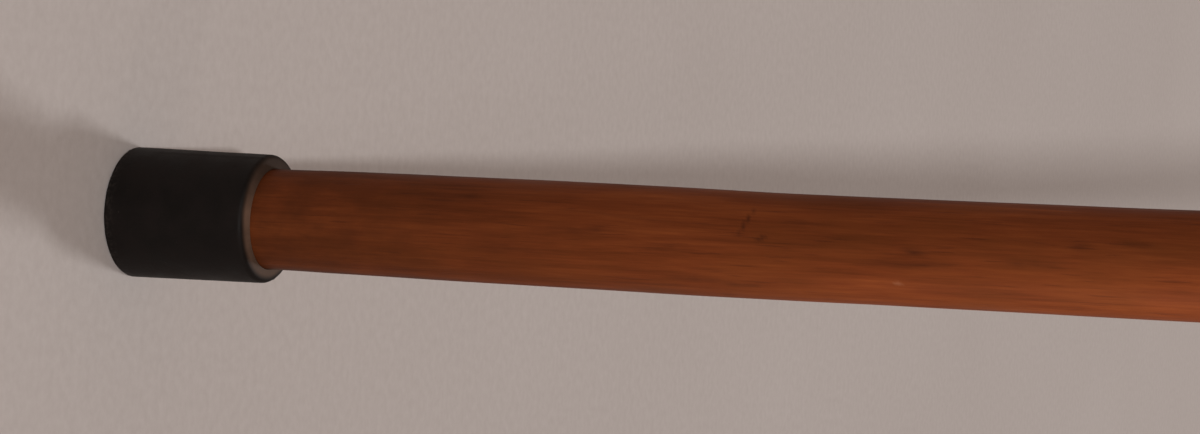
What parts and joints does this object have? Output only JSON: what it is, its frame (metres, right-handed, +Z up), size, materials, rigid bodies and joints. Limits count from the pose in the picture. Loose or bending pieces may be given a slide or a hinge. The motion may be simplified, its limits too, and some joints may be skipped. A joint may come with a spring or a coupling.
{
  "type": "single point cane",
  "caption": "Walking cane of natural stained wood with a push-on black rubber ferrule, a brass collar and a derby handle.",
  "frame": {"origin": "centre of the ferrule's ground face", "axes": "+Z up the stick, +X towards the handle's nose, -Z out of the ground face"},
  "size_m": [0.1269, 0.0286, 0.905],
  "materials": {
    "black_rubber": "matt moulded black rubber, a little dusty at the mouth",
    "zinc_steel": "zinc plated steel",
    "stained_wood": "reddish-brown stain under worn satin lacquer",
    "handle_wood": "darker stained hardwood, hand-polished satin",
    "aged_brass": "drawn brass, dulled"
  },
  "bodies": {
    "foot": {"ferrule": "black_rubber", "ferrule_washer": "zinc_steel"},
    "stick": {"shaft": "stained_wood", "collar": "aged_brass", "handle": "handle_wood", "handle_stud": "zinc_steel"}
  },
  "joints": [
    {"name": "ferrule_pull", "type": "slide", "parent": "foot", "child": "stick", "axis": [0, 0, 1], "range_m": [0, 0.035]}
  ]
}
